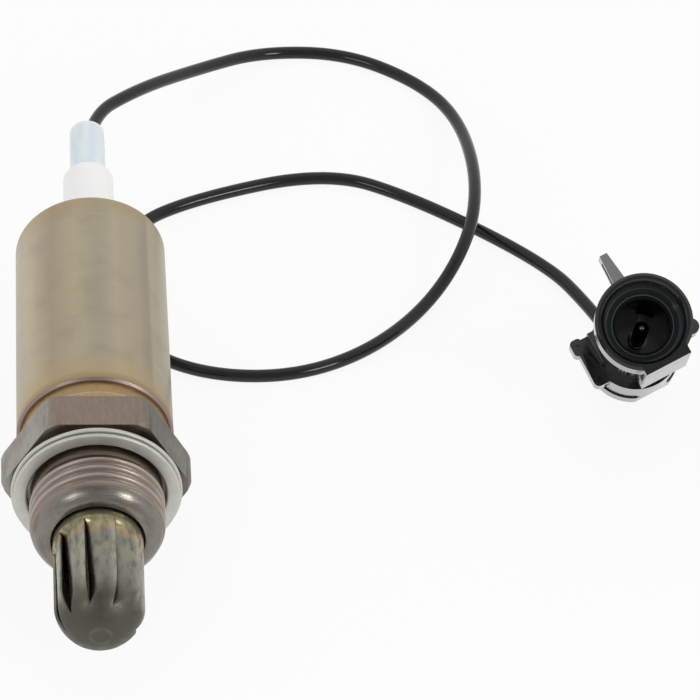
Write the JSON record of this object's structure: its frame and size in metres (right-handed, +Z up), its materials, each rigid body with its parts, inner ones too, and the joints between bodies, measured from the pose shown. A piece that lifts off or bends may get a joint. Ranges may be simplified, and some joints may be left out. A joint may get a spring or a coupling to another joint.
{
  "type": "oxygen sensor",
  "caption": "Screw-in exhaust oxygen sensor with a louvred tip, hexagon shell, steel can and a looped lead that ends in a sealed plug.",
  "frame": {"origin": "on the thread's axis, in the plane where the seat gasket meets the boss", "axes": "+Y to the rear, where the lead leaves, so the tip points to -Y; +Z up, with the sensor lying on the rim of its gasket; +X to the side on which the lead is looped"},
  "size_m": [0.0952, 0.1327, 0.0344],
  "materials": {
    "shell_steel": "plated steel, heat-browned, turned and milled",
    "gasket_steel": "folded strip, satin",
    "tip_steel": "drawn stainless, faint heat tint",
    "soft_ring_steel": "annealed",
    "zirconia": "fired ceramic, opaque",
    "talc": "pressed powder",
    "alumina": "fired ceramic, opaque",
    "contact_metal": "bright drawn",
    "can_steel": "deep drawn stainless, satin",
    "spring_steel": "hardened",
    "bushing_polymer": "white fluoropolymer, turned",
    "sleeve_film": "shrunk film, cloudy",
    "lead_jacket": "extruded black jacket",
    "plug_nylon": "moulded black nylon",
    "seal_rubber": "moulded silicone",
    "tinned_brass": "tinned"
  },
  "bodies": {
    "root": {"hex_shell": "shell_steel", "seat_gasket": "gasket_steel", "protection_tube": "tip_steel", "seat_seal_ring": "soft_ring_steel", "sensing_thimble": "zirconia", "talc_packing": "talc", "support_ceramic": "alumina", "crimp_ring": "soft_ring_steel", "contact_element": "contact_metal", "contact_rod": "contact_metal", "insulator_tube": "alumina", "outer_can": "can_steel", "disc_spring": "spring_steel", "rear_bushing": "bushing_polymer", "lead_sleeve": "sleeve_film", "crimp_ferrule": "contact_metal", "lead_wire": "lead_jacket", "connector_housing": "plug_nylon", "cable_seal": "seal_rubber", "connector_pin": "tinned_brass"}
  },
  "joints": []
}
